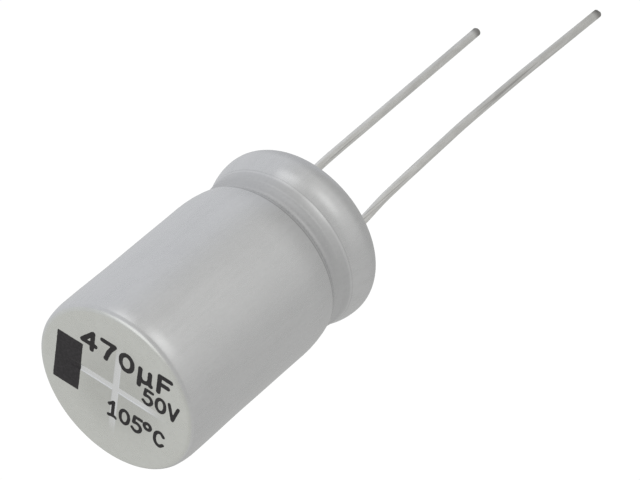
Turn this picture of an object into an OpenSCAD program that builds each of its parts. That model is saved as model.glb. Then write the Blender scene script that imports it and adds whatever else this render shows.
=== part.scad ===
// Radial aluminium electrolytic capacitor with a bare can.
// The origin is the centre of the seating plane, where the curled edge of the
// can and the outer face of the rubber seal meet the board. +Z points to the
// vent end and the leads run down -Z. The long anode lead is on the +X side.

/* [Can] */
// Outer diameter of the can
can_d = 12.5; // [12.2:0.1:13.2]
// Height from the seating plane to the vent end
can_h = 20.25; // [19.5:0.05:26]
// Thickness of the drawn wall
wall_t = 0.30; // [0.25:0.01:0.34]
// How far the lip round the vent end stands out past the wall
lip_flare = 0.085; // [0:0.005:0.12]
// Corner radius at the vent end
lip_r = 0.60; // [0.4:0.05:0.9]
// Depth below the vent end at which the lip has faded into the wall
lip_fade = 1.3; // [1:0.1:2]

/* [Vent] */
// Length of each scored line of the vent cross
vent_len = 8.8; // [6:0.1:10]
// Width of a scored line
vent_w = 0.40; // [0.2:0.05:0.6]
// Depth of a scored line
vent_depth = 0.10; // [0.05:0.01:0.15]

/* [Bead groove and curl] */
// Length of the drawn-in shoulder above the bead groove
shoulder_len = 2.35; // [2:0.05:2.6]
// Slope of the shoulder where it meets the groove, in degrees
shoulder_slope = 16; // [12:1:18]
// Slope of the groove's upper side, in degrees
groove_slope = 60; // [56:1:62]
// Slope of the groove's lower side, in degrees
lower_slope = 45; // [42:1:48]
// Rolling radius at the groove's upper edge
edge_r = 0.40; // [0.37:0.01:0.45]
// Rolling radius at the groove's bottom
groove_r = 0.36; // [0.34:0.01:0.40]
// Straight length of the groove's upper side
groove_side = 0.10; // [0.05:0.01:0.15]
// Straight length of the groove's lower side
groove_rise = 0.28; // [0.24:0.01:0.30]
// Rolling radius of the ridge below the groove
ridge_r = 0.37; // [0.36:0.01:0.42]
// Slope at which the shallow dip below the ridge meets the bulge, in degrees
dip_slope = 15; // [12:1:17]
// Slope at which the bulge starts, in degrees
bulge_slope = 26; // [24:1:28]
// Radius of the curl where it turns in under the seal
curl_r = 1.55; // [1.4:0.05:1.6]
// Radius of the hook that bites into the rubber
hook_r = 0.60; // [0.5:0.05:0.7]

/* [Seal] */
// Height of the rubber seal
seal_h = 6.0; // [5.6:0.1:6.2]
// Radius of the two bores in the seal
bore_r = 1.0; // [0.9:0.05:1.1]
// Depth of the small countersink at each bore's outer end
bore_sink = 0.2; // [0.1:0.05:0.4]

/* [Terminals and leads] */
// Distance between the two leads
lead_pitch = 5.0; // [4.9:0.05:5.1]
// Diameter of the tinned wire
lead_d = 0.60; // [0.5:0.05:0.8]
// Length of wire that leaves the seal at right angles
lead_straight = 1.8; // [1.2:0.1:2.5]
// Radial clearance of the terminal stem in its bore
stem_gap = 0.01; // [0.005:0.005:0.03]
// Thickness of the flattened part of a terminal
paddle_t = 0.20; // [0.15:0.01:0.21]
// Length of the flattened part
paddle_len = 10.6; // [8:0.2:10.8]

/* [Winding] */
// Thickness of the etched anode foil
anode_t = 0.11; // [0.09:0.01:0.12]
// Thickness of the cathode foil
cathode_t = 0.06; // [0.04:0.01:0.07]
// Thickness of one separator paper
paper_t = 0.08; // [0.05:0.01:0.09]
// Free play between one strip and the next
play = 0.015; // [0.01:0.005:0.02]
// Width of the separator papers
paper_w = 11.8; // [11:0.1:12]
// Width of the foils
foil_w = 10.8; // [10:0.1:11]
// Thickness of the fixing tape
tape_t = 0.06; // [0.04:0.01:0.08]

/* [Hidden] */
$fn = 96;

wall_r = can_d / 2;
lip_top_r = wall_r + lip_flare;
stem_r = bore_r - stem_gap;
stem_top = seal_h + 0.3;        // where the round stem starts to flatten
flat_z = seal_h + 1.2;          // where it is fully flat
roll_z = seal_h + 1.4;          // lower edge of the papers
foil_z = roll_z + (paper_w - foil_w) / 2;

// --- outline of the neck: a chain of arcs and straights ---------------------
// A heading of 0 runs straight down the wall, and 90 runs inwards. Each entry
// is [radius, turn] for an arc, where a negative turn bends outwards, or
// [0, length] for a straight. A point is [r, z, nr, nz] with its outward normal.
function n_of(h) = [cos(h), -sin(h)];
function t_of(h) = [-sin(h), -cos(h)];
function steps(turn) = max(2, ceil(abs(turn) / 7.5));
function arc_pts(p, h, rad, turn) =
    let (s = sign(turn), c = p - s * rad * n_of(h), k = steps(turn))
    [for (i = [1:k]) let (a = h + turn * i / k, q = c + s * rad * n_of(a), n = n_of(a))
        [q[0], q[1], n[0], n[1]]];
function chain(segs, p, h, i = 0) =
    i >= len(segs) ? [] :
    segs[i][0] == 0 ?
        let (q = p + segs[i][1] * t_of(h), n = n_of(h))
        concat([[q[0], q[1], n[0], n[1]]], chain(segs, q, h, i + 1)) :
        let (a = arc_pts(p, h, segs[i][0], segs[i][1]), e = a[len(a) - 1])
        concat(a, chain(segs, [e[0], e[1]], h + segs[i][1], i + 1));

// radius of a shoulder that turns by a slope over a length
shoulder_r = shoulder_len / sin(shoulder_slope);
neck = [
    [shoulder_r, shoulder_slope],
    [edge_r, groove_slope - shoulder_slope],
    [0, groove_side],
    [groove_r, -groove_slope - lower_slope],
    [0, groove_rise],
    [ridge_r, lower_slope],
    [2.28, -dip_slope],
    [0.25, dip_slope - bulge_slope],    // faint crease between the dip and the bulge
    [3.3, bulge_slope],
    [0, 0.03],
    [curl_r + 0.15, 42],
    [curl_r, 48]
];
hook = [[hook_r, 62], [hook_r - 0.05, 28]];
neck_down = chain(neck, [wall_r, 0], 0);
neck_drop = -neck_down[len(neck_down) - 1][1];
neck_pts = chain(concat(neck, hook), [wall_r, neck_drop], 0);
tip = neck_pts[len(neck_pts) - 1];

// --- outline of the vent end ------------------------------------------------
lip_pts = concat(
    [[0, can_h, 0, 1]],
    [for (i = [0:8]) let (a = 90 - i * 90 / 8)
        [lip_top_r - lip_r + lip_r * cos(a), can_h - lip_r + lip_r * sin(a), cos(a), sin(a)]],
    [for (i = [1:6]) let (u = i / 6, w = lip_fade - lip_r,
        slope = lip_flare * 90 * sin(180 * u) * PI / 180 / w, m = sqrt(1 + slope * slope))
        [wall_r + lip_flare * (0.5 + 0.5 * cos(180 * u)), can_h - lip_r - w * u,
         1 / m, -slope / m]]);

skin = concat(lip_pts, [[wall_r, neck_drop, 1, 0]], neck_pts);
function inset(pts, t) = [for (p = pts) [max(0, p[0] - t * p[2]), p[1] - t * p[3]]];
function outer(pts) = [for (p = pts) [p[0], p[1]]];
function reversed(v) = [for (i = [len(v) - 1:-1:0]) v[i]];

module can() {
    color("silver")
    difference() {
        rotate_extrude() polygon(concat(outer(skin), reversed(inset(skin, wall_t))));
        // scored cross of the pressure vent
        for (a = [0, 90]) rotate([0, 0, a])
            translate([-vent_len / 2, -vent_w / 2, can_h - vent_depth])
                cube([vent_len, vent_w, 1]);
    }
}

// --- rubber seal ------------------------------------------------------------
face_r = tip[0] - 0.02;         // edge of the face inside the hook
side = [for (p = inset(concat([[wall_r, neck_drop, 1, 0]], neck_pts), wall_t + 0.01))
        if (p[1] < seal_h - 0.35) p];
module seal_blank() {
    rotate_extrude() polygon(concat(
        [[0, 0], [face_r - 0.3, 0]],
        [for (i = [1:5]) let (a = -90 + i * 18)
            [face_r - 0.3 + 0.3 * cos(a), 0.3 + 0.3 * sin(a)]],
        [[face_r, tip[1] + 0.02], [tip[0] + wall_t + 0.01, tip[1] + 0.02]],
        reversed(side),
        [[side[0][0], seal_h - 0.35], [side[0][0] - 0.35, seal_h], [0, seal_h]]));
}
module rubber_seal() {
    color([0.13, 0.13, 0.14])
    difference() {
        seal_blank();
        for (s = [-1, 1]) translate([s * lead_pitch / 2, 0, 0]) {
            translate([0, 0, -1]) cylinder(r = bore_r, h = seal_h + 2);
            translate([0, 0, -0.01])
                cylinder(r1 = bore_r + bore_sink + 0.01, r2 = bore_r, h = bore_sink + 0.01);
        }
    }
}

// --- winding ----------------------------------------------------------------
// Four strips are wound together. The upper half turns are rings round the
// axis. Each lower half turn is a ring whose centre is moved along X, so that
// it joins one upper half turn to the next. One turn has room for a terminal's
// paddle beside each foil.
pitch = anode_t + cathode_t + 2 * paper_t + 4 * play;
paddle_room = 0.24;
core_r = 0.89;
tab_turn = 3;
// place of each strip in the stack: anode foil, inner paper, cathode foil, outer paper
off = [0, anode_t + play, anode_t + paper_t + 2 * play,
       anode_t + paper_t + cathode_t + 3 * play];
function turn_r(s, k) = core_r + off[s] + k * pitch
    + (k >= tab_turn + (s == 0 ? 1 : 0) ? paddle_room : 0)
    + (k >= tab_turn + (s < 3 ? 1 : 0) ? paddle_room : 0);
module half_turn(s, k, t, low) {
    c = low ? (turn_r(s, k + 1) - turn_r(s, k)) / 2 : 0;
    r = turn_r(s, k) + c;
    translate([c, 0]) difference() {
        circle(r = r + t);
        circle(r = r);
        translate([-r - 1, low ? 0 : -2 * r - 2]) square([2 * r + 2, 2 * r + 2]);
    }
}
module strip(s, t, z, w, first, last) {
    translate([0, 0, z]) linear_extrude(height = w) {
        for (k = [first:last]) half_turn(s, k, t, false);
        for (k = [first:last]) half_turn(s, k, t, true);
    }
}
module anode_foil() { color([0.62, 0.63, 0.64]) strip(0, anode_t, foil_z, foil_w, 1, 8); }
module cathode_foil() { color([0.72, 0.73, 0.74]) strip(2, cathode_t, foil_z, foil_w, 1, 8); }
module separator_paper_inner() { color([0.86, 0.80, 0.66]) strip(1, paper_t, roll_z, paper_w, 0, 9); }
module separator_paper_outer() { color([0.88, 0.83, 0.70]) strip(3, paper_t, roll_z, paper_w, 0, 9); }

tape_r = turn_r(3, 10) + paper_t + 0.015;
module fixing_tape() {
    color([0.75, 0.62, 0.30])
    translate([0, 0, roll_z + 2]) linear_extrude(height = paper_w - 4) difference() {
        circle(r = tape_r + tape_t);
        circle(r = tape_r);
    }
}

// --- terminals --------------------------------------------------------------
// A round stem through the seal, pressed flat above it. The flat part is
// curved to lie along its foil, at radius r_in from the can's axis.
module terminal(r_in, half_angle) {
    x = lead_pitch / 2;
    m = r_in + paddle_t / 2 - x;
    translate([x, 0, 0]) intersection() {
        cylinder(r = stem_r, h = flat_z);
        translate([0, 2, 0]) rotate([90, 0, 0]) linear_extrude(height = 4)
            polygon([[-2, -1], [2, -1], [2, stem_top], [1, stem_top],
                     [m + paddle_t / 2, flat_z], [m - paddle_t / 2, flat_z],
                     [-1, stem_top], [-2, stem_top]]);
    }
    rotate([0, 0, -half_angle]) rotate_extrude(angle = 2 * half_angle)
        translate([r_in, flat_z - 0.25]) square([paddle_t, paddle_len]);
}
anode_in = turn_r(0, tab_turn) + anode_t + 0.02;
cathode_in = turn_r(2, tab_turn) + cathode_t + 0.035;
module anode_tab() { color([0.80, 0.81, 0.82]) terminal(anode_in, 22); }
module cathode_tab() { color([0.80, 0.81, 0.82]) mirror([1, 0, 0]) terminal(cathode_in, 19); }

// --- leads ------------------------------------------------------------------
// The wire starts at the seal's face. Each entry is [0, length] for a straight
// or [radius, turn] for a bend. Both wires lean the same way.
lean_az = 152;
anode_path = [[0, lead_straight], [8, 5.5], [0, 2.6], [8, -3.9], [0, 8.3],
              [8, -1.9], [0, 5.7], [8, -1.1], [0, 8.8]];
cathode_path = [[0, lead_straight], [8, 5.4], [0, 1.7], [8, -5.4], [0, 16.9]];
module wire(path, i = 0) {
    if (i < len(path)) {
        a = path[i][0];
        b = path[i][1];
        if (a == 0) {
            translate([0, 0, -b]) cylinder(d = lead_d, h = b);
            translate([0, 0, -b]) wire(path, i + 1);
        } else {
            s = sign(b);
            rotate([0, 0, s > 0 ? 0 : 180])
                multmatrix([[-1, 0, 0, a], [0, 0, -1, 0], [0, -1, 0, 0], [0, 0, 0, 1]])
                    rotate_extrude(angle = abs(b)) translate([a, 0]) circle(d = lead_d);
            translate([s * a * (1 - cos(b)), 0, -a * sin(abs(b))])
                rotate([0, -b, 0]) wire(path, i + 1);
        }
    } else {
        // sheared end
        translate([0, 0, -0.1]) cylinder(d1 = lead_d - 0.16, d2 = lead_d, h = 0.1);
    }
}
module lead(x, path) {
    color([0.74, 0.73, 0.70])
    translate([x, 0, 0]) rotate([0, 0, lean_az]) wire(path);
}
module anode_lead() { lead(lead_pitch / 2, anode_path); }
module cathode_lead() { lead(-lead_pitch / 2, cathode_path); }

can();
rubber_seal();
anode_tab();
cathode_tab();
anode_foil();
cathode_foil();
separator_paper_inner();
separator_paper_outer();
fixing_tape();
anode_lead();
cathode_lead();
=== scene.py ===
import math

import bpy
import numpy as np
from mathutils import Matrix, Vector


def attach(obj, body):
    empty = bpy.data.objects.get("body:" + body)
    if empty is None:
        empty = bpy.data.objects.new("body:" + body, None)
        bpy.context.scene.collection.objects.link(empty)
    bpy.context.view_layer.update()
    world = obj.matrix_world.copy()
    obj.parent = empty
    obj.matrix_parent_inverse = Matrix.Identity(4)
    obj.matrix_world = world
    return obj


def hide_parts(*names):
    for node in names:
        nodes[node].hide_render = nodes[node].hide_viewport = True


MM = 0.001

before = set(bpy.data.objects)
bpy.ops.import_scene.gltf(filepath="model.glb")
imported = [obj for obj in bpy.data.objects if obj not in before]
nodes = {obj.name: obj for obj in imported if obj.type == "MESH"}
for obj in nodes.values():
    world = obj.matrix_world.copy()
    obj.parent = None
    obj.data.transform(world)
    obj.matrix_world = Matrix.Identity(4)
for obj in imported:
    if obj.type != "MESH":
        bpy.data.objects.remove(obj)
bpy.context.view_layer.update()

# --- main sizes, in millimetres ---------------------------------------------
CAN_H = 20.25
WALL_R = 6.25
WALL_T = 0.30
LIP_TOP = WALL_R + 0.110
LIP_FADE = 7.0
TAPER = 0.03
VENT_LEN = 8.8
VENT_D = 0.048
PITCH = 5.0
WIRE_R = 0.30


# --- small helpers ----------------------------------------------------------
def mesh_object(name, verts, faces, smooth=True, attrs=None):
    """A new mesh object from millimetre points."""
    me = bpy.data.meshes.new(name)
    me.from_pydata((np.asarray(verts, float) * MM).tolist(), [], faces)
    me.validate()
    me.update()
    if smooth:
        me.polygons.foreach_set("use_smooth", [True] * len(me.polygons))
    for key, values in (attrs or {}).items():
        a = me.attributes.new(key, "FLOAT", "POINT")
        a.data.foreach_set("value", np.asarray(values, np.float32))
    ob = bpy.data.objects.new(name, me)
    bpy.context.scene.collection.objects.link(ob)
    return ob


def smoothstep(a, b, x):
    t = np.clip((np.asarray(x, float) - a) / (b - a), 0, 1)
    return t * t * (3 - 2 * t)


def value_noise(x, y, z, seed):
    """Smooth noise from -1 to 1 on arrays of points, the same on every run."""
    x, y, z = (np.asarray(v, float) for v in np.broadcast_arrays(x, y, z))
    xi, yi, zi = (np.floor(v).astype(np.int64) for v in (x, y, z))
    fx, fy, fz = x - xi, y - yi, z - zi
    fx, fy, fz = (v * v * (3 - 2 * v) for v in (fx, fy, fz))

    def h(a, b, c):
        n = (a * 374761393 + b * 668265263 + c * 2147483647 + seed * 974711) & 0x7FFFFFFF
        n = ((n ^ (n >> 13)) * 1274126177) & 0x7FFFFFFF
        return ((n ^ (n >> 16)) & 0xFFFF) / 32767.5 - 1

    total = 0.0
    for dx in (0, 1):
        for dy in (0, 1):
            for dz in (0, 1):
                w = (fx if dx else 1 - fx) * (fy if dy else 1 - fy) * (fz if dz else 1 - fz)
                total = total + w * h(xi + dx, yi + dy, zi + dz)
    return total


# --- outline of the can's neck, from the wall down to the curled edge --------
# A heading of 0 runs straight down the wall and 90 runs inwards. An entry is
# (radius, turn) for an arc or (0, length) for a straight.
SHOULDER, SLOPE, GROOVE, LOWER, DIP, BULGE = 2.35, 16.0, 60.0, 45.0, 15.0, 26.0
NECK = [
    (SHOULDER / math.sin(math.radians(SLOPE)), SLOPE),
    (0.40, GROOVE - SLOPE),
    (0, 0.10),
    (0.36, -GROOVE - LOWER),
    (0, 0.28),
    (0.37, LOWER),
    (2.28, -DIP),
    (0.25, DIP - BULGE),
    (3.3, BULGE),
    (0, 0.03),
    (1.70, 42),
    (1.55, 48),
]
HOOK = [(0.60, 62), (0.55, 28)]


def chain(segs, start, step=4.0):
    """Points (r, z, nr, nz) along the entries, with outward normals."""
    r, z, h = start[0], start[1], 0.0
    out = []
    for rad, val in segs:
        if rad == 0:
            r, z = r - math.sin(math.radians(h)) * val, z - math.cos(math.radians(h)) * val
            out.append((r, z, math.cos(math.radians(h)), -math.sin(math.radians(h))))
            continue
        s = 1 if val > 0 else -1
        n0 = (math.cos(math.radians(h)), -math.sin(math.radians(h)))
        c = (r - s * rad * n0[0], z - s * rad * n0[1])
        k = max(2, math.ceil(abs(val) / step))
        for i in range(1, k + 1):
            a = h + val * i / k
            n = (math.cos(math.radians(a)), -math.sin(math.radians(a)))
            out.append((c[0] + s * rad * n[0], c[1] + s * rad * n[1], n[0], n[1]))
        r, z, h = out[-1][0], out[-1][1], h + val
    return out


DROP = -chain(NECK, (WALL_R, 0))[-1][1]
neck_pts = chain(NECK + HOOK, (WALL_R, DROP))

# the lip: a tight corner, then a long gentle shoulder up to its widest place
EASE, EASE_R, CORNER_R = math.radians(12), 4.6, 0.46
LIP_R = CORNER_R * (1 - math.sin(EASE)) + EASE_R * math.sin(EASE)
FACE_R = LIP_TOP - EASE_R * (1 - math.cos(EASE)) - CORNER_R * math.cos(EASE)
lip_pts = []
for i in range(11):
    a = math.pi / 2 + (EASE - math.pi / 2) * i / 10
    lip_pts.append((FACE_R + CORNER_R * math.cos(a), CAN_H - CORNER_R + CORNER_R * math.sin(a),
                    math.cos(a), math.sin(a)))
for i in range(1, 7):
    a = EASE * (1 - i / 6)
    lip_pts.append((LIP_TOP - EASE_R * (1 - math.cos(a)), CAN_H - LIP_R + EASE_R * math.sin(a),
                    math.cos(a), math.sin(a)))
# behind the lip the flare fades out, and the wall is a hair wider towards the vent end
z_wall = CAN_H - LIP_FADE
for i in range(1, 13):
    u = i / 12
    w = LIP_FADE - LIP_R
    over = LIP_TOP - WALL_R - TAPER
    slope = over * math.pi / 2 * math.sin(math.pi * u) / w
    m = math.hypot(1, slope)
    lip_pts.append((WALL_R + TAPER + over * (0.5 + 0.5 * math.cos(math.pi * u)),
                    CAN_H - LIP_R - w * u, 1 / m, -slope / m))
wall_pts = [(WALL_R + TAPER * (0.5 + 0.5 * math.cos(math.pi * i / 24)),
             z_wall + (DROP - z_wall) * i / 24, 1.0, 0.0) for i in range(1, 25)]
outer = lip_pts + wall_pts + neck_pts


# --- vent face ---------------------------------------------------------------
def vent_distance(x, y):
    """Distance to the nearest scored line and how far along its arm, 0 to 1."""
    ax, ay = np.abs(x), np.abs(y)
    half = VENT_LEN / 2
    along_x = np.hypot(np.maximum(ax - half, 0), ay)
    along_y = np.hypot(np.maximum(ay - half, 0), ax)
    d = np.minimum(along_x, along_y)
    t = np.maximum(ax, ay) / half
    return d, t


def face_z(x, y):
    """Height of the vent face in millimetres, below the flat end."""
    d, t = vent_distance(x, y)
    fade = 1 - smoothstep(0.60, 1.0, t)
    score = VENT_D * fade * (1 - smoothstep(0.15, 0.30, d))
    flank = 0.012 * fade * np.exp(-(d / 0.75) ** 2)
    edge = smoothstep(FACE_R, FACE_R - 1.2, np.hypot(x, y))
    dish = 0.020 * edge * (1 - (np.hypot(x, y) / FACE_R) ** 2)
    wave = 0.0016 * edge * value_noise(x * 0.8 + 7, y * 0.8 + 3, 0.0, 5)
    return CAN_H - score - flank * edge - dish + wave - 0.001


def axis_lines():
    """Grid lines from -1 to 1, close together where the scored lines run."""
    near = np.arange(0, 0.4501, 0.045) / FACE_R
    k = 27
    q = 1.035
    steps = q ** np.arange(k)
    far = near[-1] + (1 - near[-1]) * np.cumsum(steps) / steps.sum()
    pos = np.concatenate([near, far])
    return np.concatenate([-pos[:0:-1], pos])


def build_can():
    u = axis_lines()
    n = len(u)
    gu, gv = np.meshgrid(u, u, indexing="ij")
    x = gu * np.sqrt(1 - gv * gv / 2) * FACE_R
    y = gv * np.sqrt(1 - gu * gu / 2) * FACE_R
    rim = []  # grid places round the disc, counter-clockwise
    rim += [(n - 1, j) for j in range(n - 1)]
    rim += [(i, n - 1) for i in range(n - 1, 0, -1)]
    rim += [(0, j) for j in range(n - 1, 0, -1)]
    rim += [(i, 0) for i in range(n - 1)]
    ang = np.array([math.atan2(y[i, j], x[i, j]) for i, j in rim])
    m = len(rim)
    ca, sa = np.cos(ang), np.sin(ang)

    verts, faces = [], []

    def add_grid(z, flip):
        base = len(verts)
        verts.extend(zip(x.ravel(), y.ravel(), np.asarray(z).ravel()))
        for i in range(n - 1):
            for j in range(n - 1):
                q = [base + i * n + j, base + (i + 1) * n + j,
                     base + (i + 1) * n + j + 1, base + i * n + j + 1]
                faces.append(q[::-1] if flip else q)
        return [base + i * n + j for i, j in rim]

    def add_ring(r, z):
        base = len(verts)
        verts.extend(zip(r * ca, r * sa, np.broadcast_to(z, ca.shape)))
        return list(range(base, base + m))

    def join(a, b):
        for k in range(m):
            l = (k + 1) % m
            faces.append([a[k], b[k], b[l], a[l]])

    ring = add_grid(face_z(x, y), False)
    start = ring
    for i, (r, z, nr, nz) in enumerate(outer[1:]):
        # drawn and rolled metal is never quite round
        amp = 0.006 * float(smoothstep(CAN_H - 0.3, CAN_H - 2.0, z)) * float(smoothstep(0.3, 1.6, z))
        soft = value_noise(ca * 1.6 + 3, sa * 1.6 + 5, z * 0.16, 11)
        fine = 0.35 * value_noise(ca * 5 + 1, sa * 5 + 9, z * 0.30, 23)
        rr = r + amp * (soft + fine - 0.6)
        new = add_ring(rr, z)
        join(ring, new)
        ring = new
    # inside of the wall, back up to the underside of the vent face
    inner = [(r - WALL_T * nr, z - WALL_T * nz) for r, z, nr, nz in outer[10:]]
    inner = inner[::-1]
    for r, z in inner[::2]:
        new = add_ring(np.full(m, r), z)
        join(ring, new)
        ring = new
    top = CAN_H - WALL_T
    for a in (40, 65):
        a = math.radians(a)
        k = CORNER_R - WALL_T
        new = add_ring(np.full(m, FACE_R + k * math.cos(a)), CAN_H - CORNER_R + k * math.sin(a))
        join(ring, new)
        ring = new
    last = add_grid(np.full_like(x, top), True)
    join(ring, last)
    ob = mesh_object("can_shell", verts, faces)
    return ob


can = build_can()


# --- ink: shapes drawn as strokes, laid on the vent face ----------------------
STROKES = {
    "0": [[(0.5, 0), (0.12, 0.22), (0.0, 0.7), (0.12, 1.18), (0.5, 1.4), (0.88, 1.18), (1.0, 0.7), (0.88, 0.22), (0.5, 0)]],
    "1": [[(0.15, 1.12), (0.55, 1.4), (0.55, 0)], [(0.18, 0), (0.92, 0)]],
    "2": [[(0.05, 1.1), (0.25, 1.34), (0.6, 1.4), (0.92, 1.2), (0.92, 0.9), (0.7, 0.6), (0.05, 0.0), (0.98, 0.0)]],
    "4": [[(0.78, 0), (0.78, 1.4), (0.0, 0.42), (1.04, 0.42)]],
    "5": [[(0.92, 1.4), (0.2, 1.4), (0.12, 0.8), (0.55, 0.88), (0.92, 0.66), (0.94, 0.3), (0.65, 0.02), (0.3, 0.0), (0.02, 0.2)]],
    "7": [[(0.02, 1.4), (0.98, 1.4), (0.62, 0.8), (0.42, 0.0)]],
    "V": [[(0.0, 1.4), (0.5, 0.0), (1.0, 1.4)]],
    "u": [[(0.1, -0.42), (0.1, 1.0)], [(0.1, 0.34), (0.24, 0.05), (0.5, 0.0), (0.76, 0.1), (0.86, 0.36)], [(0.86, 1.0), (0.86, 0.06), (1.0, 0.0)]],
    "F": [[(0.12, 0), (0.12, 1.4), (0.98, 1.4)], [(0.12, 0.74), (0.8, 0.74)]],
    "C": [[(0.96, 1.12), (0.66, 1.4), (0.34, 1.36), (0.04, 1.02), (0.04, 0.38), (0.34, 0.04), (0.66, 0.0), (0.96, 0.28)]],
    "o": [[(0.22 + 0.36 * math.sin(math.pi * k / 6), 1.18 + 0.30 * math.cos(math.pi * k / 6)) for k in range(13)]],
}


def rounded(pts, k=6):
    """The same stroke with its corners eased into curves."""
    p = np.array(pts, float)
    if len(p) < 3:
        return p
    closed = np.allclose(p[0], p[-1])
    out = [p[0]] if not closed else []
    idx = range(1, len(p) - 1) if not closed else range(0, len(p) - 1)
    for i in idx:
        a = p[i - 1] if i > 0 else p[-2]
        b, c = p[i], p[i + 1]
        ab, bc = b - a, c - b
        turn = math.degrees(math.acos(max(-1, min(1, float(ab @ bc) / (np.linalg.norm(ab) * np.linalg.norm(bc) + 1e-9)))))
        if turn > 80:
            out.append(b)
            continue
        s, e = b - ab * 0.5, b + bc * 0.5
        for t in np.linspace(0, 1, k):
            out.append((1 - t) ** 2 * s + 2 * t * (1 - t) * b + t * t * e)
    out.append(p[-1] if not closed else out[0])
    return np.array(out)


def line_of(text, x0, base, height, pitch, slim=0.72):
    """Strokes of a row of characters, in millimetres on the vent face."""
    k = height / 1.4
    rows = []
    for i, ch in enumerate(text):
        for s in STROKES.get(ch, []):
            q = rounded(s)
            rows.append(np.stack([x0 + i * pitch + q[:, 0] * pitch * slim, base + q[:, 1] * k], 1))
    return rows


def distance_to(strokes, gx, gy):
    d = np.full(gx.shape, 9.0)
    for s in strokes:
        for a, b in zip(s[:-1], s[1:]):
            ab = b - a
            t = np.clip(((gx - a[0]) * ab[0] + (gy - a[1]) * ab[1]) / (ab @ ab + 1e-12), 0, 1)
            d = np.minimum(d, np.hypot(gx - a[0] - t * ab[0], gy - a[1] - t * ab[1]))
    return d


def ink_mesh(name, inside, x0, x1, y0, y1, h, lift=0.010, thick=0.014):
    """Ink where inside(x, y) is positive, cut along its edge and laid on the face."""
    gx = np.arange(x0, x1 + h, h)
    gy = np.arange(y0, y1 + h, h)
    X, Y = np.meshgrid(gx, gy, indexing="ij")
    F = inside(X, Y)
    verts, faces, index = [], [], {}

    def corner(i, j):
        key = (i, j, 0)
        if key not in index:
            index[key] = len(verts)
            verts.append((gx[i], gy[j]))
        return index[key]

    def cut(i, j, k, l):
        key = (i, j, k, l) if (i, j) < (k, l) else (k, l, i, j)
        if key not in index:
            a, b = F[i, j], F[k, l]
            t = min(0.97, max(0.03, a / (a - b)))
            index[key] = len(verts)
            verts.append((gx[i] + (gx[k] - gx[i]) * t, gy[j] + (gy[l] - gy[j]) * t))
        return index[key]

    on = F > 0
    some = on[:-1, :-1] | on[1:, :-1] | on[1:, 1:] | on[:-1, 1:]
    for i, j in np.argwhere(some):
        c = [(i, j), (i + 1, j), (i + 1, j + 1), (i, j + 1)]
        s = [bool(on[p]) for p in c]
        if s in ([True, False, True, False], [False, True, False, True]):
            for q in range(4):
                if s[q]:
                    faces.append([corner(*c[q]), cut(*c[q], *c[(q + 1) % 4]), cut(*c[q - 1], *c[q])])
            continue
        poly = []
        for q in range(4):
            if s[q]:
                poly.append(corner(*c[q]))
            if s[q] != s[(q + 1) % 4]:
                poly.append(cut(*c[q], *c[(q + 1) % 4]))
        faces.append(poly)
    v = np.array(verts)
    zt = face_z(v[:, 0], v[:, 1]) + lift
    top = np.column_stack([v, zt])
    n = len(top)
    under = np.column_stack([v, zt - thick])
    edges = {}
    for f in faces:
        for a, b in zip(f, f[1:] + f[:1]):
            edges[(a, b)] = edges.get((a, b), 0) + 1
    sides = [[b, a, a + n, b + n] for (a, b) in edges if (b, a) not in edges]
    allf = faces + [[a + n for a in f[::-1]] for f in faces] + sides
    return mesh_object(name, np.vstack([top, under]), allf, smooth=False)


def ragged(x, y, seed, amount):
    return amount * (value_noise(x * 9, y * 9, 0.0, seed) + 0.6 * value_noise(x * 23, y * 23, 0.0, seed + 1))


bold = line_of("470uF", -2.95, 2.12, 1.42, 1.53, 0.68)
fine = line_of("50V", 2.20, 0.40, 1.22, 1.02)
fine += line_of("105o", -0.45, -2.55, 1.22, 1.02) + line_of("C", 3.38, -2.55, 1.22, 1.02)
prints = [
    ink_mesh("rating_print_bold", lambda x, y: 0.175 - distance_to(bold, x, y) + ragged(x, y, 3, 0.012),
             -3.4, 4.8, 1.2, 3.9, 0.045),
    ink_mesh("rating_print_fine", lambda x, y: 0.128 - distance_to(fine, x, y) + ragged(x, y, 8, 0.010),
             -0.7, 5.3, -2.9, 2.0, 0.040),
    ink_mesh("negative_mark", lambda x, y: np.minimum(1.025 - np.abs(x + 3.87), 2.10 - np.abs(y)) + ragged(x, y, 5, 0.012),
             -5.1, -2.7, -2.3, 2.3, 0.05),
]


# --- leads --------------------------------------------------------------------
LEAN = math.radians(152)
ANODE = [(0, 1.8), (8, 5.5), (0, 2.6), (8, -3.9), (0, 8.3), (8, -1.9), (0, 5.7), (8, -1.1), (0, 8.8)]
CATHODE = [(0, 1.8), (8, 5.4), (0, 1.7), (8, -5.4), (0, 16.9)]


def route(path, step=0.25):
    """Points and headings along a wire, in its own plane: (aside, down, heading)."""
    a, z, h = 0.0, 0.0, 0.0
    out = [(a, z, h)]
    for rad, val in path:
        if rad == 0:
            k = max(1, math.ceil(val / step))
            for i in range(1, k + 1):
                out.append((a + math.sin(h) * val * i / k, z - math.cos(h) * val * i / k, h))
        else:
            s = 1 if val > 0 else -1
            t = math.radians(val)
            k = max(3, math.ceil(abs(val) / 1.2))
            cx, cz = a + s * rad * math.cos(h), z + s * rad * math.sin(h)
            for i in range(1, k + 1):
                g = h + t * i / k
                out.append((cx - s * rad * math.cos(g), cz - s * rad * math.sin(g), g))
            h += t
        a, z = out[-1][0], out[-1][1]
    return out


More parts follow.
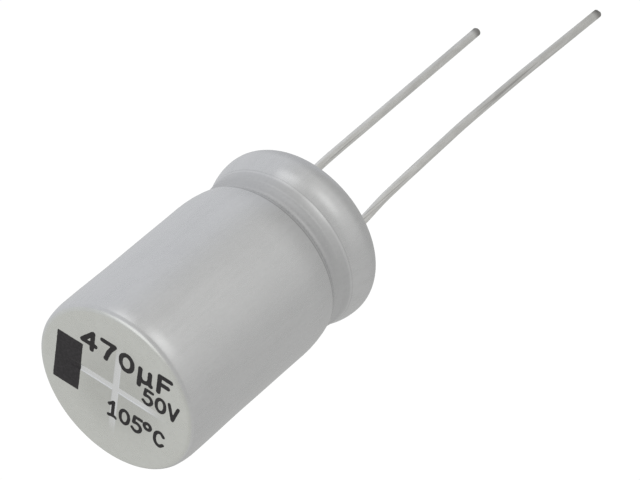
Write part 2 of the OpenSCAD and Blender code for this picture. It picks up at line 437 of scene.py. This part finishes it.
def build_lead(name, x0, path, seed, shear):
    """A drawn wire along its route, with a weld collar and a sheared end."""
    pts = route(path)
    # the bends ease into each other, as in a wire straightened by hand
    p = np.array(pts)
    run = np.concatenate([[0], np.cumsum(np.hypot(np.diff(p[:, 0]), np.diff(p[:, 1])))])
    for i in range(len(p)):
        if run[i] > 0.3:
            w = np.exp(-((run - run[i]) / (0.25 + 0.9 * min(1.0, run[i] / 3, (run[-1] - run[i]) / 3))) ** 2)
            a, h = float((w * p[:, 0]).sum() / w.sum()), float((w * p[:, 2]).sum() / w.sum())
            pts[i] = (0.96 * a, pts[i][1], h)
    m = 40
    ang = np.linspace(0, 2 * np.pi, m, endpoint=False)
    side = np.array([math.cos(LEAN), math.sin(LEAN), 0])
    across = np.array([-math.sin(LEAN), math.cos(LEAN), 0])
    verts, faces, rings = [], [], []

    def ring(c, e1, e2, r, tilt=None):
        base = len(verts)
        for k in range(m):
            o = e1 * math.cos(ang[k]) + e2 * math.sin(ang[k])
            rr = r[k] if np.ndim(r) else r
            p = c + o * rr
            if tilt is not None:
                p = p + tilt(math.cos(ang[k]) * rr, math.sin(ang[k]) * rr)
            verts.append(tuple(p))
        rings.append(list(range(base, base + m)))

    length = 0.0
    prev = None
    for i, (a, z, h) in enumerate(pts):
        c = np.array([x0, 0, 0]) + side * a + np.array([0, 0, z])
        t = side * math.sin(h) + np.array([0, 0, -math.cos(h)])
        e1 = side * math.cos(h) + np.array([0, 0, math.sin(h)])
        e2 = across
        if prev is not None:
            length += float(np.linalg.norm(c - prev))
        prev = c
        wob = value_noise(np.cos(ang) * 1.3 + 4, np.sin(ang) * 1.3 + 4, length * 0.55, seed)
        nick = value_noise(np.cos(ang) * 2.6, np.sin(ang) * 2.6, length * 2.2, seed + 4)
        r = WIRE_R * (1 + 0.008 * wob + 0.006 * nick) - 0.003
        if i == 0:
            r = r * 0 + WIRE_R + 0.10
            c = c + np.array([0, 0, 0.004])
        if i == 1:
            for q, s in ((0.04, 0.094), (0.08, 0.078), (0.12, 0.052), (0.17, 0.022), (0.23, 0.004)):
                ring(np.array([x0, 0, -q]), side, across, WIRE_R + s)
            continue
        ring(c, e1, e2, r)
    # sheared end: a slanted face with a rounded shoulder on one side
    c, (dx, dy, cut, drop) = prev, shear
    d0 = np.array([dx, dy])
    for q, rr in ((0.03, 0.985), (0.055, 0.955), (0.075, 0.90), (0.088, 0.80), (0.094, 0.55), (0.096, 0.25)):
        ring(c + t * q, e1, e2, WIRE_R * rr - 0.003,
             lambda u, v, q=q: t * (-cut * max(0.0, (u * d0[0] + v * d0[1]) / WIRE_R + drop) * min(1.0, q / 0.03)))
    verts.append(tuple(c + t * 0.096 - t * cut * max(0.0, drop)))
    tipi = len(verts) - 1
    verts.append(tuple(np.array([x0, 0, 0.004])))
    topi = len(verts) - 1
    for a, b in zip(rings[:-1], rings[1:]):
        for k in range(m):
            l = (k + 1) % m
            faces.append([a[k], a[l], b[l], b[k]])
    for k in range(m):
        l = (k + 1) % m
        faces.append([rings[-1][k], rings[-1][l], tipi])
        faces.append([rings[0][l], rings[0][k], topi])
    return mesh_object(name, verts, faces)


lead_long = build_lead("lead_long", PITCH / 2, ANODE, 31, (0.94, -0.34, 0.20, -0.15))
lead_short = build_lead("lead_short", -PITCH / 2, CATHODE, 47, (0.9, 0.44, 0.12, -0.1))

# --- who rides and who is replaced ---------------------------------------------
for piece, node, slot in ((can, "can", "can_aluminium"),
                          (lead_long, "anode_lead", "tinned_wire"),
                          (lead_short, "cathode_lead", "tinned_wire")):
    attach(piece, "root")
    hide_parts(node)
for piece in prints:
    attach(piece, "root")


# --- materials -------------------------------------------------------------------
class Nodes:
    """Short ways to write a node tree."""

    def __init__(self, name):
        self.mat = bpy.data.materials.new(name)
        self.mat.use_nodes = True
        self.tree = self.mat.node_tree
        self.tree.nodes.clear()
        self.out = self.new("ShaderNodeOutputMaterial")
        self.bsdf = self.new("ShaderNodeBsdfPrincipled")
        self.link(self.bsdf.outputs[0], self.out.inputs[0])
        tc = self.new("ShaderNodeTexCoord")
        mm = self.new("ShaderNodeVectorMath", operation="SCALE")
        mm.inputs["Scale"].default_value = 1000.0
        self.link(tc.outputs["Object"], mm.inputs[0])
        self.mm = mm.outputs[0]

    def new(self, kind, **props):
        n = self.tree.nodes.new(kind)
        for k, v in props.items():
            setattr(n, k, v)
        return n

    def link(self, a, b):
        self.tree.links.new(a, b)

    def set(self, **values):
        for k, v in values.items():
            self.bsdf.inputs[k.replace("_", " ")].default_value = v

    def scaled(self, sx, sy, sz, src=None):
        m = self.new("ShaderNodeMapping")
        m.inputs["Scale"].default_value = (sx, sy, sz)
        self.link(src or self.mm, m.inputs["Vector"])
        return m.outputs[0]

    def noise(self, vec, scale, detail=3.0, rough=0.55, distort=0.0):
        n = self.new("ShaderNodeTexNoise")
        n.inputs["Scale"].default_value = scale
        n.inputs["Detail"].default_value = detail
        n.inputs["Roughness"].default_value = rough
        n.inputs["Distortion"].default_value = distort
        self.link(vec, n.inputs["Vector"])
        return n.outputs["Fac"]

    def math(self, op, a, b=None, c=None, clamp=False):
        n = self.new("ShaderNodeMath", operation=op, use_clamp=clamp)
        for i, v in enumerate((a, b, c)):
            if v is None:
                continue
            if isinstance(v, (int, float)):
                n.inputs[i].default_value = v
            else:
                self.link(v, n.inputs[i])
        return n.outputs[0]

    def ramp(self, fac, lo, hi, a, b, smooth=True):
        n = self.new("ShaderNodeMapRange")
        n.interpolation_type = "SMOOTHSTEP" if smooth else "LINEAR"
        for k, v in zip(("From Min", "From Max", "To Min", "To Max"), (lo, hi, a, b)):
            n.inputs[k].default_value = v
        self.link(fac, n.inputs["Value"])
        return n.outputs[0]

    def mix(self, fac, a, b):
        n = self.new("ShaderNodeMix", data_type="RGBA")
        for sock, v in ((n.inputs[0], fac), (n.inputs[6], a), (n.inputs[7], b)):
            if isinstance(v, (int, float)):
                sock.default_value = v
            elif isinstance(v, (tuple, list)):
                sock.default_value = (*v, 1) if len(v) == 3 else v
            else:
                self.link(v, sock)
        return n.outputs[2]

    def bump(self, height, strength, dist_mm, before=None):
        n = self.new("ShaderNodeBump")
        n.inputs["Strength"].default_value = strength
        n.inputs["Distance"].default_value = dist_mm * MM
        self.link(height, n.inputs["Height"])
        if before is not None:
            self.link(before, n.inputs["Normal"])
        return n.outputs[0]

    def colour(self, c):
        self.link(c, self.bsdf.inputs["Base Color"])

    def rough(self, r):
        self.link(r, self.bsdf.inputs["Roughness"])

    def normal(self, n):
        self.link(n, self.bsdf.inputs["Normal"])


def can_material():
    t = Nodes("satin_drawn_aluminium")
    t.set(Metallic=1.0)
    sep = t.new("ShaderNodeSeparateXYZ")
    t.link(t.mm, sep.inputs[0])
    ax = t.math("ABSOLUTE", sep.outputs[0])
    ay = t.math("ABSOLUTE", sep.outputs[1])
    top = t.ramp(sep.outputs[2], CAN_H - 0.16, CAN_H - 0.05, 0.0, 1.0)
    middle = t.math("SQRT", t.math("ADD", t.math("MULTIPLY", sep.outputs[0], sep.outputs[0]),
                                   t.math("MULTIPLY", sep.outputs[1], sep.outputs[1])))
    near = t.math("MINIMUM", ax, ay)
    far = t.math("MAXIMUM", ax, ay)
    score = t.math("MULTIPLY", t.ramp(near, 0.20, 0.30, 1.0, 0.0), t.ramp(far, 2.0, 4.2, 1.0, 0.0))
    score = t.math("MULTIPLY", score, top)
    # draw marks along the can, cloudy satin and fine grain
    streak = t.noise(t.scaled(1, 1, 0.055), 3.0, 2.0, 0.5)
    long_streak = t.noise(t.scaled(1, 1, 0.02), 1.6, 3.0, 0.55)
    cloud = t.noise(t.scaled(1, 1, 0.6), 0.55, 4.0, 0.6, 0.3)
    grain = t.noise(t.scaled(1, 1, 0.5), 5.5, 1.0, 0.5)
    tone = t.math("MULTIPLY_ADD", t.math("SUBTRACT", streak, 0.5), 0.40, 0.0)
    tone = t.math("ADD", tone, t.math("MULTIPLY", t.math("SUBTRACT", long_streak, 0.5), 0.22))
    tone = t.math("ADD", tone, t.math("MULTIPLY", t.math("SUBTRACT", cloud, 0.5), 0.58))
    tone = t.math("ADD", tone, t.math("MULTIPLY", t.math("SUBTRACT", grain, 0.5), 0.42))
    tone = t.math("ADD", tone, 0.5, clamp=True)
    wall = t.mix(tone, (0.735, 0.738, 0.745), (0.865, 0.868, 0.875))
    face = t.mix(tone, (0.735, 0.745, 0.714), (0.855, 0.866, 0.830))
    # painted shade: the middle of the face is made darker, standing in for the shade of its shallow dish
    dished_shade = t.mix(tone, (0.635, 0.642, 0.612), (0.735, 0.743, 0.710))
    face = t.mix(t.ramp(middle, 1.6, 5.0, 0.0, 1.0), dished_shade, face)
    col = t.mix(top, wall, face)
    col = t.mix(score, col, (0.96, 0.97, 0.985))
    # painted shade in the rolled groove: a dark painted shadow line along its edge, painted shade over its floor and
    # side, and a thin painted shade line in the crease below
    down = t.math("SUBTRACT", CAN_H, sep.outputs[2])
    for lo, mid_a, mid_b, hi, dark in ((15.03, 15.09, 15.13, 15.20, 0.44), (15.13, 15.26, 16.85, 17.05, 0.18),
                                       (17.05, 17.10, 17.13, 17.19, 0.14)):
        groove_shade = t.math("MULTIPLY", t.ramp(down, lo, mid_a, 0.0, dark), t.ramp(down, mid_b, hi, 1.0, 0.0))
        col = t.mix(groove_shade, col, (0.22, 0.22, 0.225))
    t.colour(col)
    r = t.ramp(cloud, 0.3, 0.7, 0.25, 0.31, False)
    r = t.math("ADD", r, t.math("MULTIPLY", t.math("SUBTRACT", streak, 0.5), 0.10))
    r = t.math("SUBTRACT", r, t.math("MULTIPLY", score, 0.05), clamp=True)
    # the roller leaves the groove duller than the wall
    rolled = t.math("MULTIPLY", t.ramp(sep.outputs[2], CAN_H - 17.20, CAN_H - 16.20, 0.0, 1.0),
                    t.ramp(sep.outputs[2], CAN_H - 15.5, CAN_H - 15.1, 1.0, 0.0))
    r = t.math("ADD", r, t.math("MULTIPLY", rolled, 0.20), clamp=True)
    t.rough(r)
    b = t.bump(streak, 0.20, 0.005)
    b = t.bump(grain, 0.06, 0.002, b)
    b = t.bump(cloud, 0.4, 0.012, b)
    t.normal(b)
    return t.mat


def ink_material(name, solid):
    t = Nodes(name)
    t.set(Metallic=0.0, Specular_IOR_Level=0.35)
    n1 = t.noise(t.mm, 5.0, 4.0, 0.6)
    n2 = t.noise(t.mm, 17.0, 2.0, 0.5)
    k = t.math("ADD", t.math("MULTIPLY", n1, 0.6), t.math("MULTIPLY", n2, 0.4))
    t.colour(t.mix(t.ramp(k, 0.38, 0.66, 0.0, 1.0), (0.012, 0.010, 0.012), (0.045, 0.040, 0.044) if solid else (0.030, 0.027, 0.028)))
    t.rough(t.ramp(k, 0.3, 0.7, 0.42, 0.62, False))
    t.normal(t.bump(n2, 0.3, 0.004))
    return t.mat


def wire_material(name, tip):
    t = Nodes(name)
    t.set(Metallic=1.0)
    sep = t.new("ShaderNodeSeparateXYZ")
    t.link(t.mm, sep.inputs[0])
    streak = t.noise(t.scaled(1, 1, 0.05), 7.0, 4.0, 0.65)
    blotch = t.noise(t.scaled(1, 1, 0.35), 2.2, 4.0, 0.62, 0.6)
    speck = t.noise(t.mm, 14.0, 2.0, 0.5)
    k = t.math("ADD", t.math("MULTIPLY", streak, 0.5), t.math("MULTIPLY", blotch, 0.5))
    col = t.mix(t.ramp(k, 0.36, 0.64, 0.0, 1.0), (0.88, 0.875, 0.85), (1.0, 0.995, 0.975))
    col = t.mix(t.ramp(speck, 0.62, 0.78, 0.0, 0.35), col, (0.55, 0.54, 0.52))
    line = t.noise(t.scaled(1, 1, 0.02), 5.0, 1.0, 0.5)
    col = t.mix(t.ramp(line, 0.60, 0.72, 0.0, 0.55), col, (0.42, 0.41, 0.40))
    col = t.mix(t.ramp(sep.outputs[2], tip + 0.22, tip + 0.75, 0.75, 0.0), col, (0.26, 0.25, 0.24))
    t.colour(col)
    t.rough(t.ramp(blotch, 0.3, 0.7, 0.30, 0.46, False))
    b = t.bump(streak, 0.25, 0.004)
    b = t.bump(blotch, 0.3, 0.008, b)
    t.normal(b)
    return t.mat


def rubber_material():
    t = Nodes("moulded_black_rubber")
    t.set(Metallic=0.0, Specular_IOR_Level=0.4)
    a = t.noise(t.mm, 2.0, 4.0, 0.6)
    g = t.noise(t.mm, 22.0, 3.0, 0.6)
    t.colour(t.mix(t.ramp(a, 0.35, 0.65, 0.0, 1.0), (0.012, 0.012, 0.013), (0.030, 0.030, 0.031)))
    t.rough(t.ramp(g, 0.3, 0.7, 0.62, 0.78, False))
    t.normal(t.bump(g, 0.5, 0.012, t.bump(a, 0.3, 0.03)))
    return t.mat


def metal_material(name, lo, hi, r0, r1, stretch, scale, bump_mm):
    t = Nodes(name)
    t.set(Metallic=1.0)
    a = t.noise(t.scaled(*stretch), scale, 4.0, 0.6)
    g = t.noise(t.mm, 18.0, 2.0, 0.6)
    t.colour(t.mix(t.ramp(a, 0.35, 0.65, 0.0, 1.0), lo, hi))
    t.rough(t.ramp(g, 0.3, 0.7, r0, r1, False))
    t.normal(t.bump(g, 0.4, bump_mm, t.bump(a, 0.4, bump_mm)))
    return t.mat


def paper_material():
    t = Nodes("soaked_kraft_paper")
    t.set(Metallic=0.0, Specular_IOR_Level=0.3)
    fibre = t.noise(t.scaled(1, 1, 0.4), 9.0, 5.0, 0.7, 0.8)
    damp = t.noise(t.mm, 0.7, 3.0, 0.6)
    col = t.mix(t.ramp(fibre, 0.35, 0.65, 0.0, 1.0), (0.44, 0.34, 0.20), (0.68, 0.57, 0.39))
    col = t.mix(t.ramp(damp, 0.4, 0.65, 0.0, 0.35), col, (0.36, 0.27, 0.15))
    t.colour(col)
    t.rough(t.ramp(fibre, 0.3, 0.7, 0.55, 0.8, False))
    t.normal(t.bump(fibre, 0.5, 0.02))
    return t.mat


def tape_material():
    t = Nodes("amber_tape")
    t.set(Metallic=0.0, Specular_IOR_Level=0.5)
    a = t.noise(t.scaled(1, 1, 0.3), 1.4, 3.0, 0.6)
    g = t.noise(t.mm, 12.0, 2.0, 0.5)
    t.colour(t.mix(t.ramp(a, 0.35, 0.65, 0.0, 1.0), (0.48, 0.27, 0.05), (0.66, 0.42, 0.11)))
    t.rough(t.ramp(g, 0.3, 0.7, 0.25, 0.38, False))
    t.normal(t.bump(g, 0.3, 0.004))
    return t.mat


def dress(ob, mat):
    ob.data.materials.clear()
    ob.data.materials.append(mat)


dress(can, can_material())
ink_a, ink_b = ink_material("printed_ink", False), ink_material("printed_ink_block", True)
dress(prints[0], ink_a)
dress(prints[1], ink_a)
dress(prints[2], ink_b)
dress(lead_long, wire_material("tinned_wire_long", -29.0))
dress(lead_short, wire_material("tinned_wire_short", -22.0))
dress(nodes["rubber_seal"], rubber_material())
tab = metal_material("pressed_aluminium", (0.50, 0.50, 0.51), (0.66, 0.66, 0.67), 0.28, 0.42, (1, 1, 0.1), 3.0, 0.006)
dress(nodes["anode_tab"], tab)
dress(nodes["cathode_tab"], tab)
dress(nodes["anode_foil"], metal_material("etched_foil_dark", (0.27, 0.28, 0.30), (0.37, 0.38, 0.40), 0.55, 0.7, (1, 1, 0.5), 5.0, 0.01))
dress(nodes["cathode_foil"], metal_material("etched_foil_light", (0.40, 0.41, 0.42), (0.52, 0.53, 0.54), 0.5, 0.65, (1, 1, 0.5), 5.0, 0.01))
paper = paper_material()
dress(nodes["separator_paper_inner"], paper)
dress(nodes["separator_paper_outer"], paper)
dress(nodes["fixing_tape"], tape_material())

# --- plain white floor and backdrop, seen directly --------------------------------------
FLOOR_Z = -29.35


def square(name, size, z):
    return mesh_object(name, [(-size, -size, z), (size, -size, z), (size, size, z), (-size, size, z)],
                       [[0, 1, 2, 3]], smooth=False)


def dome(name, radius):
    """A closed round backdrop, as rings of four-sided faces."""
    verts, faces = [], []
    for i in range(1, 16):
        e = math.pi * i / 16
        for j in range(32):
            g = 2 * math.pi * j / 32
            verts.append((radius * math.sin(e) * math.cos(g), radius * math.sin(e) * math.sin(g), radius * math.cos(e)))
    for i in range(14):
        for j in range(32):
            k = (j + 1) % 32
            faces.append([i * 32 + j, (i + 1) * 32 + j, (i + 1) * 32 + k, i * 32 + k])
    verts += [(0, 0, radius), (0, 0, -radius)]
    for j in range(32):
        k = (j + 1) % 32
        faces.append([j, k, len(verts) - 2])
        faces.append([14 * 32 + k, 14 * 32 + j, len(verts) - 1])
    return mesh_object(name, verts, faces, smooth=False)


def glow(name):
    """An emission material and its tree."""
    m = bpy.data.materials.new(name)
    m.use_nodes = True
    tree = m.node_tree
    tree.nodes.clear()
    e = tree.nodes.new("ShaderNodeEmission")
    e.inputs["Strength"].default_value = 1.03
    tree.links.new(e.outputs[0], tree.nodes.new("ShaderNodeOutputMaterial").inputs[0])
    return m, tree, e


floor = square("floor", 1400, FLOOR_Z)
backdrop = dome("backdrop", 1500)
white = glow("white_paper")[0]
for ob in (floor, backdrop):
    dress(ob, white)
    ob.visible_glossy = ob.visible_diffuse = ob.visible_transmission = False
    ob.visible_volume_scatter = ob.visible_shadow = False

# --- what the metal mirrors: a table glowing with painted light and painted shadow, and a dim room ---
WARM, BLUE = (1.000, 1.000, 0.984), (0.988, 1.000, 1.024)
table = square("table_glow", 3700, FLOOR_Z)
table.visible_camera = False
tm, tt, te = glow("table_glow")
dress(table, tm)


class Sums:
    """Short ways to write sums in a node tree."""

    def __init__(self, tree):
        self.tree = tree

    def do(self, op, a, b=0.0):
        n = self.tree.nodes.new("ShaderNodeMath")
        n.operation = op
        for i, v in enumerate((a, b)):
            if isinstance(v, (int, float)):
                n.inputs[i].default_value = v
            else:
                self.tree.links.new(v, n.inputs[i])
        return n.outputs[0]

    def ramp(self, v, lo, hi, a, b):
        n = self.tree.nodes.new("ShaderNodeMapRange")
        n.interpolation_type = "SMOOTHSTEP"
        for k, x in zip(("From Min", "From Max", "To Min", "To Max"), (lo, hi, a, b)):
            n.inputs[k].default_value = x
        self.tree.links.new(v, n.inputs["Value"])
        return n.outputs[0]

    def split(self, vec):
        n = self.tree.nodes.new("ShaderNodeSeparateXYZ")
        self.tree.links.new(vec, n.inputs[0])
        return n.outputs

    def angle(self, x, y, about):
        """Angle of (x, y) from a heading in degrees, from -180 to 180."""
        c, s = math.cos(math.radians(about)), math.sin(math.radians(about))
        u = self.do("ADD", self.do("MULTIPLY", x, c), self.do("MULTIPLY", y, s))
        v = self.do("SUBTRACT", self.do("MULTIPLY", y, c), self.do("MULTIPLY", x, s))
        return self.do("MULTIPLY", self.do("ARCTAN2", v, u), 180 / math.pi)

    def tint(self, fac, a, b):
        n = self.tree.nodes.new("ShaderNodeMix")
        n.data_type = "RGBA"
        self.tree.links.new(fac, n.inputs[0])
        n.inputs[6].default_value, n.inputs[7].default_value = (*a, 1), (*b, 1)
        return n.outputs[2]


f = Sums(tt)
geo = tt.nodes.new("ShaderNodeNewGeometry")
px, py, pz = f.split(geo.outputs["Position"])
rho = f.do("MULTIPLY", f.do("SQRT", f.do("ADD", f.do("MULTIPLY", px, px), f.do("MULTIPLY", py, py))), 1000.0)
side = f.angle(px, py, 62)
off = f.do("ABSOLUTE", f.do("SUBTRACT", side, 5.0))
# painted shadow: the table glows less close under the can; painted light: it glows more towards one side
near = f.ramp(rho, 12, 60, 0.435, 0.49)
lift = f.do("MULTIPLY", f.ramp(rho, 20, 60, 0.0, 0.12), f.ramp(off, 15, 85, 1.0, 0.0))
# painted pool of light: a broad brighter patch further out on one side
painted_light_pool = f.do("MULTIPLY", f.ramp(rho, 68, 135, 0.0, 0.37), f.ramp(rho, 210, 460, 1.0, 0.0))
painted_light_pool = f.do("MULTIPLY", painted_light_pool, f.ramp(off, 4, 27, 1.0, 0.0))
warm = f.do("ADD", f.do("ADD", near, lift), painted_light_pool)
# painted light: a cooler, brighter stretch of table on the other side
cool = f.do("MULTIPLY", f.ramp(side, 30, 80, 0.0, 1.0), f.ramp(side, 150, 178, 1.0, 0.0))
level = f.do("ADD", f.do("MULTIPLY", warm, f.do("SUBTRACT", 1.0, cool)), f.do("MULTIPLY", cool, f.ramp(rho, 16, 46, 0.50, 0.64)))
tt.links.new(level, te.inputs["Strength"])
tt.links.new(f.tint(cool, WARM, BLUE), te.inputs["Color"])

world = bpy.data.worlds.new("dim_room")
bpy.context.scene.world = world
world.use_nodes = True
bg = world.node_tree.nodes["Background"]
w = Sums(world.node_tree)
wc = world.node_tree.nodes.new("ShaderNodeTexCoord")
wx, wy, wz = w.split(wc.outputs["Generated"])
turned = w.angle(wx, wy, 62)
c190 = w.do("ADD", w.do("MULTIPLY", wx, math.cos(math.radians(190))), w.do("MULTIPLY", wy, math.sin(math.radians(190))))
world.node_tree.links.new(w.do("ADD", w.do("MULTIPLY", c190, 0.075), 0.56), bg.inputs["Strength"])
room = w.do("MULTIPLY", w.ramp(turned, 30, 80, 0.0, 1.0), w.ramp(turned, 150, 178, 1.0, 0.0))
world.node_tree.links.new(w.tint(room, WARM, BLUE), bg.inputs["Color"])


def softbox(name, azimuth, elevation, distance, width, height, radiance, tint=(1, 1, 1), at=(0, 0, 8)):
    """An area light that faces the can. Angles are about +Z, from +X; sizes in millimetres."""
    a, e = math.radians(azimuth), math.radians(elevation)
    d = Vector((math.cos(e) * math.cos(a), math.cos(e) * math.sin(a), math.sin(e)))
    li = bpy.data.lights.new(name, "AREA")
    li.shape = "RECTANGLE"
    li.size, li.size_y = width * MM, height * MM
    li.energy = radiance * math.pi * li.size * li.size_y
    li.color = tint
    ob = bpy.data.objects.new(name, li)
    bpy.context.scene.collection.objects.link(ob)
    ob.location = (Vector(at) + d * distance) * MM
    ob.rotation_mode = "QUATERNION"
    ob.rotation_quaternion = (-d).to_track_quat("-Z", "Y")
    ob.visible_camera = False
    return ob


softbox("side_soft", 116, -6, 140, 62, 44, 0.30, at=(0, 0, 11))
softbox("top_soft", 124, 70, 260, 200, 170, 0.42, at=(0, 0, 16))

# --- camera at the photograph's place ---------------------------------------------
FOCAL = 8218.12                       # in pixels of a 640 x 480 frame
AL, TH = 0.71, 0.64
CX, CY, SCALE = 115.064, 389.119, 15.698
DEPTH = FOCAL / SCALE                 # millimetres to the middle of the vent face
d = np.array([math.cos(TH) * math.cos(AL), -math.cos(TH) * math.sin(AL), math.sin(TH)])
ea = np.array([math.sin(TH) * math.cos(AL), -math.sin(TH) * math.sin(AL), -math.cos(TH)])
eb = np.array([math.sin(AL), math.cos(AL), 0.0])
turn = math.radians(62.03)
ROWS = np.array([math.cos(turn) * ea + math.sin(turn) * eb, math.sin(turn) * ea - math.cos(turn) * eb, -d])
face_mid = np.array([(CX - 320) * DEPTH / FOCAL, (CY - 240) * DEPTH / FOCAL, DEPTH])
place = np.array([0, 0, CAN_H]) - ROWS @ face_mid
right, up, back = ROWS @ [1, 0, 0], ROWS @ [0, -1, 0], ROWS @ [0, 0, -1]
cam_data = bpy.data.cameras.new("photo_camera")
cam = bpy.data.objects.new("photo_camera", cam_data)
bpy.context.scene.collection.objects.link(cam)
cam_data.sensor_fit = "HORIZONTAL"
cam_data.sensor_width = 36.0
cam_data.lens = FOCAL * 36.0 / 640.0
cam_data.clip_start, cam_data.clip_end = 0.01, 20.0
cam.matrix_world = Matrix(((right[0], up[0], back[0], place[0] * MM),
                           (right[1], up[1], back[1], place[1] * MM),
                           (right[2], up[2], back[2], place[2] * MM),
                           (0, 0, 0, 1)))
scene = bpy.context.scene
scene.camera = cam
scene.view_settings.view_transform = "Standard"
scene.view_settings.look = "None"
scene.cycles.use_denoising = True
